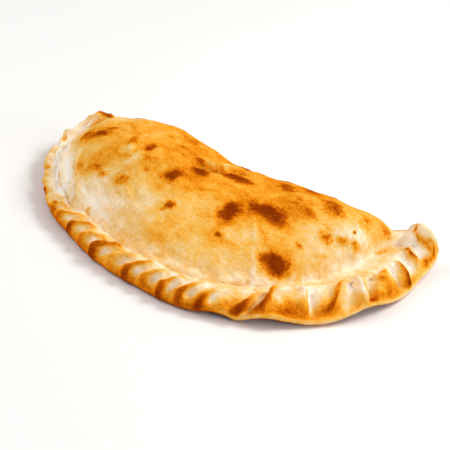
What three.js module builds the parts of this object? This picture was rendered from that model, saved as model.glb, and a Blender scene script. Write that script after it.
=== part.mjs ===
import * as THREE from 'three';

// Folded, crimped and baked calzone. Millimetres, +Z up, X along the fold, crimped edge towards -Y.

// Half-disc of dough: the crimped rim is an arc about ARC_X, ARC_Y, angles in degrees from -X through -Y.
const ARC_X = 0;
const ARC_Y = 12;
const ARC_START = -13;
const ARC_END = 192;

// Point of the half-moon that the rings of the dome close in on.
const CROWN_X = 0;
const CROWN_Y = -34;

// Moves the bounding box's bottom centre to the origin.
const SHIFT_X = -1.7;
const SHIFT_Y = 44.1;

// Inset of the folded back's foot on the table, and of the line where its rounding meets the dome.
const FOLD_FOOT = 11;
const FOLD_SOLE = 14;
const FOLD_JOIN = 13;

// X where the folded back starts and ends, and how far each tip's corner bows out.
const FOLD_RIGHT = 106;
const FOLD_LEFT = -105;
const CORNER_BOW = 2.5;

// Shares of each corner between which the crimp's end turns into the folded back.
const LEFT_TURN = [0, 0.6];
const RIGHT_TURN = [0.05, 0.42];

// Mesh density.
const RIM_STATIONS = 240;
const CORNER_STATIONS = 9;
const FOLD_STATIONS = 42;
const DOME_RINGS = 13;
const EDGE_STEPS = [-1, -0.5, -0.2, 0, 0.18, 0.4, 0.62, 0.82, 1, 1.33, 1.66, 2];

// Cubic curve through [position, value] knots.
function track(knots) {
  const last = knots.length - 1;
  const slope = (j) => {
    const a = knots[Math.max(j - 1, 0)];
    const b = knots[Math.min(j + 1, last)];
    return (b[1] - a[1]) / (b[0] - a[0]);
  };
  return (x) => {
    if (x <= knots[0][0]) return knots[0][1];
    if (x >= knots[last][0]) return knots[last][1];
    let i = 0;
    while (x > knots[i + 1][0]) i += 1;
    const h = knots[i + 1][0] - knots[i][0];
    const t = (x - knots[i][0]) / h;
    const t2 = t * t;
    const t3 = t2 * t;
    const value = (2 * t3 - 3 * t2 + 1) * knots[i][1] + (3 * t2 - 2 * t3) * knots[i + 1][1];
    return value + ((t3 - 2 * t2 + t) * slope(i) + (t3 - t2) * slope(i + 1)) * h;
  };
}

function clamp01(t) {
  return Math.min(Math.max(t, 0), 1);
}

function smooth(a, b, x) {
  const t = clamp01((x - a) / (b - a));
  return t * t * (3 - 2 * t);
}

function mix(a, b, t) {
  return a + (b - a) * t;
}

// The rim, along the arc.
const rimRadius = track([
  [-13, 129], [-7, 135.5], [0, 138], [12, 138], [20, 136], [30, 136], [42, 137], [52, 134.5], [62, 135.5],
  [75, 137], [82, 137.5], [87, 139.5], [96, 140.5], [104, 139.5], [116, 139.5], [123, 137.5], [131, 136.5],
  [140, 135.5], [150, 134.5], [160, 135], [170, 135.5], [177, 137], [184, 141.5], [188, 143.5], [192, 140],
]);
const rimLift = track([
  [94, 0], [97, 0.5], [101, 2.8], [104.5, 2.4], [108, 0.5], [112, 3.8], [116, 5.2], [121, 3], [127, 0.3],
  [134, 0.2], [139, 2.4], [146, 5.6], [151, 5], [157, 2.2], [165, 0.3], [178, 0.5], [192, 3],
]);
const bulgeHeight = track([
  [-13, 15], [-5, 11], [5, 9], [25, 8.5], [42, 8], [52, 5.5], [62, 4.5], [90, 4.5], [110, 4], [165, 4], [176, 5.5],
  [184, 9], [192, 13],
]);
const crestInset = track([
  [-13, 6], [0, 5.5], [15, 4.5], [32, 5], [44, 6.5], [55, 8], [75, 9], [88, 10.5], [100, 12], [110, 15], [119, 21],
  [130, 22], [144, 21.5], [152, 21.5], [160, 17.5], [168, 14], [176, 14], [182, 15.5], [188, 19.5], [192, 19],
]);
const crestHeight = track([
  [-13, 31], [-10.5, 29.5], [-8, 25], [-5, 21.5], [-2, 19], [5, 16], [12, 13.5], [24, 13], [45, 13], [60, 14],
  [80, 14.5], [92, 15], [104, 15], [113, 14.2], [122, 13.8], [134, 13.4], [146, 14.2], [154, 14.8], [164, 15],
  [174, 15.4], [181, 17], [184.5, 22], [188, 31], [192, 32],
]);
const valleyInset = track([
  [-13, 13], [0, 12], [15, 9], [32, 9.5], [42, 12.5], [55, 17], [70, 19], [85, 21.5], [100, 25], [110, 27.5],
  [120, 30.5], [130, 32], [144, 31], [154, 30.5], [162, 28], [172, 26], [180, 25.5], [188, 27.5], [192, 26],
]);
const valleyHeight = track([
  [-13, 25], [0, 16.5], [20, 14.3], [36, 13.4], [44, 12.2], [55, 11.5], [70, 11], [90, 10], [110, 10], [125, 10.8],
  [140, 10.6], [154, 10.8], [164, 11.8], [176, 13], [184, 15.5], [192, 20],
]);
const roundness = track([
  [40, 1], [90, 0.95], [105, 0.6], [120, 0.35], [160, 0.4], [180, 0.5], [188, 0.4], [192, 0.45],
]);

// The dome: how far it takes to rise from the valley, and the flat floor it leaves at its foot.
const riseLength = track([
  [-13, 26], [0, 30], [20, 34], [40, 44], [55, 62], [75, 78], [110, 78], [130, 66], [145, 50], [158, 36],
  [170, 27], [192, 22],
]);
const footFloor = track([
  [-13, 0], [60, 1], [110, 1], [140, 4], [155, 6.5], [170, 8.5], [182, 9], [192, 4],
]);
const footBulge = track([
  [-5, 0], [10, 0.35], [35, 0.25], [60, 0], [120, 0.15], [145, 0.4], [160, 0.8], [180, 0.95], [192, 0.9],
]);
// How far in from its foot the rim's underside comes down flat: less at the two tips.
const soleWidth = track([[-13, 3], [4, 14], [172, 14], [192, 3]]);

// The dome's ridge and the folded back, along X.
const ridgeHeight = track([
  [-125, 38], [-108, 43], [-92, 46.5], [-75, 50.5], [-58, 52.5], [-42, 50.5], [-28, 47], [-12, 41], [5, 41],
  [25, 41.5], [40, 43.5], [56, 44], [74, 42.5], [90, 38.2], [106, 34.5], [122, 27],
]);
const foldLine = track([
  [-128, 41], [-116, 38], [-100, 35.5], [-70, 35.5], [-40, 35], [0, 34], [40, 34], [80, 33.5], [104, 34],
  [116, 36.5], [130, 40],
]);
const foldHeight = track([
  [-120, 31], [-112, 30], [-105, 26], [-97, 21.5], [-86, 19], [-60, 19], [0, 18], [60, 16], [88, 15],
  [100, 17.5], [116, 21],
]);
const backLength = track([
  [-110, 30], [-80, 42], [-50, 46], [-30, 50], [0, 56], [60, 56], [90, 46], [116, 30],
]);
const backPower = track([
  [-110, 2.2], [-60, 2.25], [-30, 2.15], [0, 2], [60, 2], [116, 2],
]);

// The rope crimp on the left and front: how high its strands stand, and its strands counted along it. Whole
// numbers are the middles of the dents between them.
const ropeSize = track([
  [-13, 0.6], [0, 1.4], [34, 1.7], [40, 1.9], [46, 2.6], [56, 3], [90, 3], [104, 2.4],
]);
const strand = track([
  [-13, -12.2], [0, -9.3], [44, 0], [50, 1], [55.8, 2], [61.8, 3], [68, 4], [74.3, 5], [79.6, 6], [84.9, 7],
  [90, 8], [95.2, 9], [101, 10], [107, 11],
]);

// A finger's dent between two strands: the section step it sits at, how it leans, its half width in strands, its
// half length in steps, and its depth.
const DENT_STEP = 0.53;
const DENT_LEAN = 0.41;
const DENT_WIDTH = 0.22;
const DENT_LENGTH = 0.33;
const DENT_DEPTH = 1.7;

// The deep crease where the high left side meets the lower right side: x, y along it, depth, and height of the
// skin's lip beside it.
const CREASE = [[-34, -38], [-21.5, -20], [-11.5, -11], [-4, 9], [6, 27]];
const CREASE_DEPTH = 2.8;
const CREASE_LIP = 3;

// Folds of the wide right-hand crimp: angle at the lip, angle at the crest, spread to the left and to the right,
// height, and where along the section the fold starts and ends.
const FOLDS = [
  [106.6, 112.7, 1.7, 1.3, 4.0, -0.1, 0.95],
  [111.4, 117.3, 1.7, 2.0, 4.8, 0.15, 1.4],
  [126.6, 128.2, 3.4, 1.5, 3.0, 0.2, 1.4],
  [131.5, 142.3, 2.4, 1.6, 4.2, 0.3, 1.3],
  [145.0, 150.5, 1.8, 1.7, 4.2, 0.05, 1.35],
  [153.4, 161.6, 5.0, 4.2, 4.4, 0.1, 1.3],
  [167.5, 171.3, 1.4, 1.2, 3.4, 0.05, 1.3],
  [175.7, 179.7, 1.5, 1.4, 3.8, 0.5, 1.5],
  [184.0, 188.5, 3.0, 4.5, 3.4, 0.3, 1.3],
];

// Pinched grooves between the folds, on the same pattern with their depth.
const GROOVES = [
  [109.3, 115.4, 1.2, 1.3, 2.4, 0, 1.2],
  [128.6, 131.2, 2.0, 3.4, 4.6, 0.1, 1.6],
  [139.0, 147.5, 3.2, 3.0, 2.2, 0.1, 1.5],
  [142.9, 149.1, 1.1, 0.9, 2.4, 0.75, 1.7],
  [146.8, 157.2, 1.8, 2.2, 3.4, 0.2, 1.6],
  [164.8, 167.6, 1.9, 1.6, 4.0, 0.15, 1.6],
  [174.6, 176.6, 3.2, 2.4, 3.4, 0.15, 1.6],
  [181.0, 184.0, 1.7, 1.6, 3.2, 0.4, 1.7],
];

// The curl of dough that sticks out of the left rim: its rim angle, step, spreads and height.
const CURL = [0.6, 0.9, 2.4, 0.4, 3.2];

// How far the crimp lies below its folds' feet, and where along the rim the rope gives way to the folds.
const FOLD_BASE = 1;
const ROPE_END = 98;
const FOLDS_BEGIN = 106;

function creaseRelief(x, y) {
  let best = 1e9;
  let side = 0;
  let along = 0;
  for (let i = 0; i < CREASE.length - 1; i += 1) {
    const [ax, ay] = CREASE[i];
    const ex = CREASE[i + 1][0] - ax;
    const ey = CREASE[i + 1][1] - ay;
    const t = clamp01(((x - ax) * ex + (y - ay) * ey) / (ex * ex + ey * ey));
    const px = x - ax - ex * t;
    const py = y - ay - ey * t;
    const d = Math.hypot(px, py);
    if (d < best) {
      best = d;
      side = Math.sign(ex * py - ey * px);
      along = (i + t) / (CREASE.length - 1);
    }
  }
  const strength = smooth(0, 0.3, along) * (1 - 0.75 * smooth(0.55, 0.85, along));
  const d = best * side;
  const groove = -CREASE_DEPTH * Math.exp(-((d + 1.2) ** 2) / 8);
  const lip = CREASE_LIP * Math.exp(-((d - 4.2) ** 2) / 16);
  return strength * (groove + lip);
}

// Low waves in the baked skin.
function skinWaves(x, y) {
  const long = 0.9 * Math.sin(0.055 * x + 0.03 * y + 0.6) * Math.sin(0.07 * y - 0.02 * x + 1.1);
  const short = 0.45 * Math.sin(0.16 * x - 0.05 * y) * Math.sin(0.12 * y + 0.05 * x + 0.8);
  return long + short;
}

function roofHeight(x, y) {
  const dx = x - ARC_X;
  const dy = y - ARC_Y;
  let theta = (Math.atan2(-dy, -dx) * 180) / Math.PI;
  if (theta < -90) theta += 360;
  const reach = rimRadius(theta) - valleyInset(theta) - Math.hypot(dx, dy);
  const t = clamp01((reach - footFloor(theta)) / riseLength(theta));
  const soft = Math.sin((Math.PI / 2) * t ** 0.9) ** 0.92;
  const bulge = (t * t) / (t + 0.03);
  const full = (1 - (1 - bulge) ** 2.3) ** (1 / 2.1);
  const rise = mix(soft, full, footBulge(theta));
  const low = valleyHeight(theta);
  const front = mix(low, ridgeHeight(x), rise);
  const back = clamp01((foldLine(x) - y) / backLength(x));
  const power = backPower(x);
  const bow = (1 - (1 - back) ** power) ** (1 / power);
  const edge = foldHeight(x);
  const relief = (creaseRelief(x, y) + skinWaves(x, y)) * smooth(0.1, 0.5, t) * smooth(0.05, 0.3, back);
  return mix(edge, front, bow) + relief;
}

// Raised (about 1) and sunk (0) parts of the rope: each strand climbs between two dents and bends over the next,
// and some stand higher than others.
function ropeWave(theta, w) {
  const turn = 0.65 * smooth(0.4, 1.1, w) + 0.4 * Math.max(w - 1, 0);
  const place = strand(theta) - turn;
  const size = 1 + 0.22 * Math.sin(2.7 * Math.floor(place));
  return size * (0.5 - 0.5 * Math.cos(2 * Math.PI * place)) ** 0.85;
}

// 1 in the middle of each finger's dent, 0 outside. The dents differ a little in size and place.
function fingerDents(theta, w) {
  const place = strand(theta) - DENT_LEAN * (w - DENT_STEP);
  const number = Math.round(place);
  const across = (place - number) / (DENT_WIDTH + 0.03 * Math.sin(2.4 * number));
  const along = (w - DENT_STEP - 0.04 * Math.sin(4.1 * number)) / (DENT_LENGTH + 0.05 * Math.cos(1.7 * number));
  const present = smooth(38, 46, theta) * (1 - smooth(100, 104, theta));
  return present * (1 - smooth(0.4, 1.25, Math.hypot(across, along)));
}

function ropeRelief(theta, w) {
  const fade = smooth(-0.35, 0.15, w) * (1 - smooth(1.05, 1.8, w));
  return fade * ropeSize(theta) * (ropeWave(theta, w) - 0.5) - DENT_DEPTH * fingerDents(theta, w);
}

// A fold's or groove's share, 1 on its line and 0 away from it.
function alongFold([lip, crest, left, right, , start, end], theta, w) {
  const climb = Math.min(Math.max(w, 0), 1.3) ** 1.4;
  const offset = theta - mix(lip, crest, climb);
  const spread = (offset < 0 ? left : right) * mix(1.9, 0.95, clamp01(w));
  const shape = 0.5 + 0.5 * Math.cos(Math.PI * Math.min(Math.abs(offset) / spread, 1));
  return shape * smooth(start - 0.08, start + 0.32, w) * (1 - smooth(end - 0.5, end + 0.45, w));
}

function foldRelief(theta, w) {
  const sum = (list) => list.reduce((total, fold) => total + fold[4] * alongFold(fold, theta, w), 0);
  const relief = sum(FOLDS) - sum(GROOVES) - FOLD_BASE;
  return relief * smooth(0, 0.3, w) * (1 - smooth(1.25, 1.95, w));
}

function curlRelief(theta, w) {
  const [angle, step, wide, tall, height] = CURL;
  return height * Math.exp(-(((theta - angle) / wide) ** 2) - ((w - step) / tall) ** 2);
}

function crimpRelief(theta, w) {
  const crimp = mix(ropeRelief(theta, w), foldRelief(theta, w), smooth(ROPE_END, FOLDS_BEGIN, theta));
  return crimp + curlRelief(theta, w);
}

// Inset and height of the rim's section: -1 underside, 0 outermost, 1 crest, 2 valley.
function rimSection(theta, w, reach, valleyTop) {
  const lift = rimLift(theta);
  const bulge = bulgeHeight(theta) + lift;
  const foot = 3.5 + 0.3 * bulgeHeight(theta);
  const crestU = crestInset(theta);
  const crestZ = crestHeight(theta);
  if (w < -0.5) {
    const t = (w + 1) / 0.5;
    return [mix(foot + soleWidth(theta), foot, t), lift * smooth(0, 1, t)];
  }
  if (w < 0) {
    const a = ((w + 0.5) / 0.5) * (Math.PI / 2);
    return [foot * (1 - Math.sin(a)), lift + (bulge - lift) * (1 - Math.cos(a))];
  }
  if (w <= 1) {
    const a = w * (Math.PI / 2);
    const round = roundness(theta);
    const across = mix(w ** 1.35, 1 - Math.cos(a), round);
    const up = mix(w, Math.sin(a), Math.max(round, 0.4));
    return [crestU * across, mix(bulge, crestZ, up)];
  }
  const t = w - 1;
  const down = 0.5 - 0.5 * Math.cos(Math.PI * t);
  return [mix(crestU, reach, t), mix(crestZ, valleyTop, down)];
}

// Where the edge's section ends: the valley behind the crimp, kept clear of the folded back.
function edgeEnd(x, y, nx, ny, inset) {
  const ex = x + nx * inset;
  const limit = foldLine(ex) - FOLD_JOIN;
  const over = y + ny * inset - limit;
  return [ex, limit + 0.5 * (over - Math.hypot(over, 2.5))];
}

function station(theta, x, y, nx, ny, inset, folded) {
  const [ex, ey] = edgeEnd(x, y, nx, ny, inset);
  const reach = Math.hypot(ex - x, ey - y);
  return { theta, x, y, nx: (ex - x) / reach, ny: (ey - y) / reach, reach, folded };
}

// Outline stations all round, each with its place, the way its section runs, its rim angle and how much it is
// folded back (1) rather than crimped rim (0).
function outline() {
  const list = [];
  for (let i = 0; i < RIM_STATIONS; i += 1) {
    const theta = mix(ARC_START, ARC_END, i / (RIM_STATIONS - 1));
    const a = (theta * Math.PI) / 180;
    const nx = Math.cos(a);
    const ny = Math.sin(a);
    const r = rimRadius(theta);
    list.push(station(theta, ARC_X - r * nx, ARC_Y - r * ny, nx, ny, valleyInset(theta), 0));
  }
  const fold = [];
  for (let i = 0; i < FOLD_STATIONS; i += 1) {
    const x = mix(FOLD_RIGHT, FOLD_LEFT, i / (FOLD_STATIONS - 1));
    fold.push({ theta: 0, x, y: foldLine(x), nx: 0, ny: -1, reach: FOLD_JOIN, folded: 1 });
  }
  const corner = (from, to, theta, [start, end]) => {
    for (let i = 1; i <= CORNER_STATIONS; i += 1) {
      const t = i / (CORNER_STATIONS + 1);
      const folded = smooth(start, end, from.folded < to.folded ? t : 1 - t);
      const bow = CORNER_BOW * Math.sin(Math.PI * t);
      const side = Math.sign(from.x);
      const x = mix(from.x, to.x, t) + side * bow * 0.4;
      const y = mix(from.y, to.y, t) + bow * 0.9;
      const ex = mix(from.x + from.nx * from.reach, to.x + to.nx * to.reach, t);
      const ey = mix(from.y + from.ny * from.reach, to.y + to.ny * to.reach, t);
      const reach = Math.hypot(ex - x, ey - y);
      list.push({ theta, x, y, nx: (ex - x) / reach, ny: (ey - y) / reach, reach, folded });
    }
  };
  const first = list[0];
  corner(list[list.length - 1], fold[0], ARC_END, RIGHT_TURN);
  fold.forEach((s) => list.push(s));
  corner(fold[fold.length - 1], first, ARC_START, LEFT_TURN);
  return list;
}

function crimpPoint(s, w) {
  const valleyTop = roofHeight(s.x + s.nx * s.reach, s.y + s.ny * s.reach);
  const [u, z] = rimSection(s.theta, w, s.reach, valleyTop);
  const [u1, z1] = rimSection(s.theta, Math.min(w + 0.03, 2), s.reach, valleyTop);
  const [u0, z0] = rimSection(s.theta, Math.max(w - 0.03, -1), s.reach, valleyTop);
  const length = Math.hypot(u1 - u0, z1 - z0) || 1;
  const relief = crimpRelief(s.theta, w) * (1 - s.folded);
  const pu = u - (relief * (z1 - z0)) / length;
  const pz = z + (relief * (u1 - u0)) / length;
  return [s.x + s.nx * pu, s.y + s.ny * pu, Math.max(pz, 0)];
}

// The folded back's rounded section, on the same steps.
function foldPoint(s, w) {
  const edge = foldHeight(s.x);
  let u = s.reach * (1 - Math.cos((w / 2) * (Math.PI / 2)));
  let z = 0;
  if (w < -0.5) {
    u = mix(FOLD_SOLE, FOLD_FOOT, (w + 1) / 0.5);
  } else if (w < 0) {
    const a = ((w + 0.5) / 0.5) * (Math.PI / 2);
    u = FOLD_FOOT * (1 - Math.sin(a));
    z = edge * (1 - Math.cos(a));
  }
  const x = s.x + s.nx * u;
  const y = s.y + s.ny * u;
  return [x, y, w < 0 ? z : roofHeight(x, y)];
}

function edgePoint(s, w) {
  if (s.folded === 0) return crimpPoint(s, w);
  if (s.folded === 1) return foldPoint(s, w);
  const a = crimpPoint(s, w);
  const b = foldPoint(s, w);
  return [mix(a[0], b[0], s.folded), mix(a[1], b[1], s.folded), mix(a[2], b[2], s.folded)];
}

function buildSolid() {
  const stations = outline();
  const count = stations.length;
  const places = [];
  const faces = [];
  const add = (p) => {
    places.push(p[0] + SHIFT_X, p[1] + SHIFT_Y, p[2]);
    return places.length / 3 - 1;
  };
  const band = (a, b) => {
    const n = a.length;
    for (let i = 0; i < n; i += 1) {
      const j = (i + 1) % n;
      faces.push(a[i], a[j], b[j]);
      faces.push(a[i], b[j], b[i]);
    }
  };
  // Joins a ring to one with half as many points.
  const halve = (a, b) => {
    const n = b.length;
    for (let i = 0; i < n; i += 1) {
      const j = (i + 1) % n;
      const a0 = a[2 * i];
      const a1 = a[2 * i + 1];
      const a2 = a[(2 * i + 2) % a.length];
      faces.push(a0, a1, b[i]);
      faces.push(a1, b[j], b[i]);
      faces.push(a1, a2, b[j]);
    }
  };
  const rings = EDGE_STEPS.map((w) => stations.map((s) => add(edgePoint(s, w))));
  for (let i = 0; i < rings.length - 1; i += 1) band(rings[i], rings[i + 1]);

  // The dome, in rings of half as many points that shrink towards the crown.
  const inner = [];
  for (let i = 0; i < count; i += 2) {
    const k = rings[rings.length - 1][i] * 3;
    inner.push([places[k] - SHIFT_X, places[k + 1] - SHIFT_Y]);
  }
  let previous = null;
  for (let r = 1; r <= DOME_RINGS; r += 1) {
    const t = r / (DOME_RINGS + 1);
    const ring = inner.map(([x, y]) => {
      const px = mix(x, CROWN_X, t);
      const py = mix(y, CROWN_Y, t);
      return add([px, py, roofHeight(px, py)]);
    });
    if (previous) band(previous, ring);
    else halve(rings[rings.length - 1], ring);
    previous = ring;
  }
  const crown = add([CROWN_X, CROWN_Y, roofHeight(CROWN_X, CROWN_Y)]);
  previous.forEach((a, i) => faces.push(a, previous[(i + 1) % previous.length], crown));

  // The flat underside, inside its own outline.
  const sole = rings[0].map((k) => new THREE.Vector2(places[3 * k], places[3 * k + 1]));
  THREE.ShapeUtils.triangulateShape(sole, []).forEach((corners) => {
    const facesUp = THREE.ShapeUtils.area(corners.map((i) => sole[i])) > 0;
    const ordered = facesUp ? corners.reverse() : corners;
    faces.push(...ordered.map((i) => rings[0][i]));
  });

  const geometry = new THREE.BufferGeometry();
  geometry.setAttribute('position', new THREE.Float32BufferAttribute(places, 3));
  geometry.setIndex(faces);
  geometry.computeVertexNormals();
  return geometry;
}

const calzone = new THREE.Mesh(
  buildSolid(),
  new THREE.MeshStandardMaterial({ color: 0xe6ad62, roughness: 0.7, metalness: 0 }),
);
calzone.name = 'calzone';

const part = new THREE.Group();
part.name = 'part';
part.add(calzone);

export default part;
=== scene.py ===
import math

import bpy
import numpy as np
from mathutils import Matrix, Vector


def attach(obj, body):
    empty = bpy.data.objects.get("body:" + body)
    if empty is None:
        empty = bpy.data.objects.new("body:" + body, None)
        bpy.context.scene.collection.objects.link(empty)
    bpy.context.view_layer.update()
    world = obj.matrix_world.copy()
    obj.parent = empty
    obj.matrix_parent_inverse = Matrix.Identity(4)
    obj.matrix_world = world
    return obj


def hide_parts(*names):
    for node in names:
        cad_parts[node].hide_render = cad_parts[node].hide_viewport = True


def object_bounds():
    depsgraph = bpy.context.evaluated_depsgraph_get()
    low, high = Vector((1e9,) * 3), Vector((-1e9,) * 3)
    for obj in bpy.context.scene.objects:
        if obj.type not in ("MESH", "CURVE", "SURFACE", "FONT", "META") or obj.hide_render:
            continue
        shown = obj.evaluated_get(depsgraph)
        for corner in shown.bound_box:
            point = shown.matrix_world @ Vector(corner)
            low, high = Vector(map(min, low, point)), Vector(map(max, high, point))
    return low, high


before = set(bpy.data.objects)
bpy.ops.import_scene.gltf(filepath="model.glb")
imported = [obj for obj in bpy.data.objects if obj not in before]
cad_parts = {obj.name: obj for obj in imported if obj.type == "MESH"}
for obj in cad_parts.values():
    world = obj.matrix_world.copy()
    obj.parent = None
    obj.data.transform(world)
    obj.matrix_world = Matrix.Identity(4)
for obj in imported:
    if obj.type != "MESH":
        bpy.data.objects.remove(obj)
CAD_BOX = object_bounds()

# A baked calzone: one folded round of dough, crimped along its curved edge. Shapes are worked out in
# millimetres, X along the fold, crimped edge towards -Y, and moved by SHIFT into the part's own frame.
MM = 0.001
SHIFT = np.array([-1.7, 44.1, 0.0])

# Camera, about the middle of the plate that such a calzone is served on.
VIEW_DISTANCE = 800.0
VIEW_AZIMUTH = 12.0
VIEW_ELEVATION = 28.05
VIEW_ROLL = 13.84
VIEW_LENS = 91.64
VIEW_PAN = (-4.14, -2.56)

# Outline: the crimped rim is an arc about ARC, angles in degrees from -X through -Y.
ARC = (0.0, 12.0)
ARC_START = -13.0
ARC_END = 192.0
CROWN = (0.0, -34.0)
FOLD_FOOT = 11.0
FOLD_SOLE = 14.0
FOLD_JOIN = 13.0
FOLD_RIGHT = 106.0
FOLD_LEFT = -105.0
CORNER_BOW = 2.5

# Shares of each corner between which the crimp's end turns into the folded back.
LEFT_TURN = (0.0, 0.6)
RIGHT_TURN = (0.05, 0.42)

# Mesh density.
RIM_STATIONS = 640
CORNER_STATIONS = 20
FOLD_STATIONS = 100
SOLE_STEPS = 3
TUCK_STEPS = 8
FACE_STEPS = 24
SLOPE_STEPS = 26
DOME_RINGS = 124


# ---------------------------------------------------------------- camera

def make_camera():
    """A long lens 0.8 m away, looking down at the crimped front, and rolled a little."""
    az, el, roll = (math.radians(v) for v in (VIEW_AZIMUTH, VIEW_ELEVATION, VIEW_ROLL))
    back = Vector((math.sin(az) * math.cos(el), -math.cos(az) * math.cos(el), math.sin(el)))
    level = Vector((math.cos(az), math.sin(az), 0.0))
    upright = back.cross(level)
    right = level * math.cos(roll) + upright * math.sin(roll)
    up = upright * math.cos(roll) - level * math.sin(roll)
    aim = Vector(SHIFT) + right * VIEW_PAN[0] + up * VIEW_PAN[1]
    data = bpy.data.cameras.new("camera")
    data.lens = VIEW_LENS
    data.sensor_width = 36.0
    data.clip_start = 0.05
    data.clip_end = 20.0
    camera = bpy.data.objects.new("camera", data)
    turn = Matrix((right, up, back)).transposed().to_4x4()
    turn.translation = (aim + back * VIEW_DISTANCE) * MM
    camera.matrix_world = turn
    bpy.context.scene.collection.objects.link(camera)
    bpy.context.scene.camera = camera


make_camera()


# ---------------------------------------------------------------- small tools

def track(*knots):
    """Cubic curve through (position, value) knots."""
    xs, ys = np.array(knots, float).T
    slopes = np.empty_like(ys)
    slopes[1:-1] = (ys[2:] - ys[:-2]) / (xs[2:] - xs[:-2])
    slopes[0] = (ys[1] - ys[0]) / (xs[1] - xs[0])
    slopes[-1] = (ys[-1] - ys[-2]) / (xs[-1] - xs[-2])

    def curve(x):
        x = np.clip(x, xs[0], xs[-1])
        i = np.clip(np.searchsorted(xs, x, side="right") - 1, 0, len(xs) - 2)
        h = xs[i + 1] - xs[i]
        t = (x - xs[i]) / h
        t2 = t * t
        t3 = t2 * t
        value = (2 * t3 - 3 * t2 + 1) * ys[i] + (3 * t2 - 2 * t3) * ys[i + 1]
        return value + ((t3 - 2 * t2 + t) * slopes[i] + (t3 - t2) * slopes[i + 1]) * h

    return curve


def smooth(a, b, x):
    t = np.clip((x - a) / (b - a), 0.0, 1.0)
    return t * t * (3 - 2 * t)


def mix(a, b, t):
    return a + (b - a) * t


def between(x, a, b, c, d):
    """0 up to a, 1 from b to c, and 0 again from d on."""
    return smooth(a, b, x) * (1 - smooth(c, d, x))


def lattice(points, size, seed):
    """Smooth random field between -1 and 1, with bumps about size millimetres across."""
    draw = np.random.default_rng(seed)
    table = draw.uniform(-1, 1, (32, 32, 32))
    p = points / size
    cell = np.floor(p).astype(int)
    t = p - cell
    t = t * t * (3 - 2 * t)
    total = 0.0
    for dx in (0, 1):
        for dy in (0, 1):
            for dz in (0, 1):
                weight = (
                    np.abs(1 - dx - t[..., 0]) * np.abs(1 - dy - t[..., 1]) * np.abs(1 - dz - t[..., 2])
                )
                corner = table[(cell[..., 0] + dx) % 32, (cell[..., 1] + dy) % 32, (cell[..., 2] + dz) % 32]
                total = total + weight * corner
    return total


# ---------------------------------------------------------------- the form, shared with the solid

rim_radius = track(
    (-13, 129), (-7, 135.5), (0, 138), (12, 138), (20, 136), (30, 136), (42, 137), (52, 134.5), (62, 135.5),
    (75, 137), (82, 137.5), (87, 139.5), (96, 140.5), (104, 139.5), (116, 139.5), (123, 137.5),
    (131, 136.5), (140, 135.5), (150, 134.5), (160, 135), (170, 135.5), (177, 137), (184, 141.5),
    (188, 143.5), (192, 140),
)
rim_lift = track(
    (94, 0), (97, 0.5), (101, 2.8), (104.5, 2.4), (108, 0.5), (112, 3.8), (116, 5.2), (121, 3), (127, 0.3),
    (134, 0.2), (139, 2.4), (146, 5.6), (151, 5), (157, 2.2), (165, 0.3), (178, 0.5), (192, 3),
)
bulge_height = track(
    (-13, 15), (-5, 11), (5, 9), (25, 8.5), (42, 8), (52, 5.5), (62, 4.5), (90, 4.5), (110, 4), (165, 4),
    (176, 5.5), (184, 9), (192, 13),
)
crest_inset = track(
    (-13, 6), (0, 5.5), (15, 4.5), (32, 5), (44, 6.5), (55, 8), (75, 9), (88, 10.5), (100, 12), (110, 15),
    (119, 21), (130, 22), (144, 21.5), (152, 21.5), (160, 17.5), (168, 14), (176, 14), (182, 15.5),
    (188, 19.5), (192, 19),
)
crest_height = track(
    (-13, 31), (-10.5, 29.5), (-8, 25), (-5, 21.5), (-2, 19), (5, 16), (12, 13.5), (24, 13), (45, 13),
    (60, 14), (80, 14.5), (92, 15), (104, 15), (113, 14.2), (122, 13.8), (134, 13.4), (146, 14.2),
    (154, 14.8), (164, 15), (174, 15.4), (181, 17), (184.5, 22), (188, 31), (192, 32),
)
valley_inset = track(
    (-13, 13), (0, 12), (15, 9), (32, 9.5), (42, 12.5), (55, 17), (70, 19), (85, 21.5), (100, 25),
    (110, 27.5), (120, 30.5), (130, 32), (144, 31), (154, 30.5), (162, 28), (172, 26), (180, 25.5),
    (188, 27.5), (192, 26),
)
valley_height = track(
    (-13, 25), (0, 16.5), (20, 14.3), (36, 13.4), (44, 12.2), (55, 11.5), (70, 11), (90, 10), (110, 10),
    (125, 10.8), (140, 10.6), (154, 10.8), (164, 11.8), (176, 13), (184, 15.5), (192, 20),
)
roundness = track(
    (40, 1), (90, 0.95), (105, 0.6), (120, 0.35), (160, 0.4), (180, 0.5), (188, 0.4), (192, 0.45),
)
rise_length = track(
    (-13, 26), (0, 30), (20, 34), (40, 44), (55, 62), (75, 78), (110, 78), (130, 66), (145, 50), (158, 36),
    (170, 27), (192, 22),
)
foot_floor = track((-13, 0), (60, 1), (110, 1), (140, 4), (155, 6.5), (170, 8.5), (182, 9), (192, 4))
foot_bulge = track(
    (-5, 0), (10, 0.35), (35, 0.25), (60, 0), (120, 0.15), (145, 0.4), (160, 0.8), (180, 0.95), (192, 0.9),
)
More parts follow.
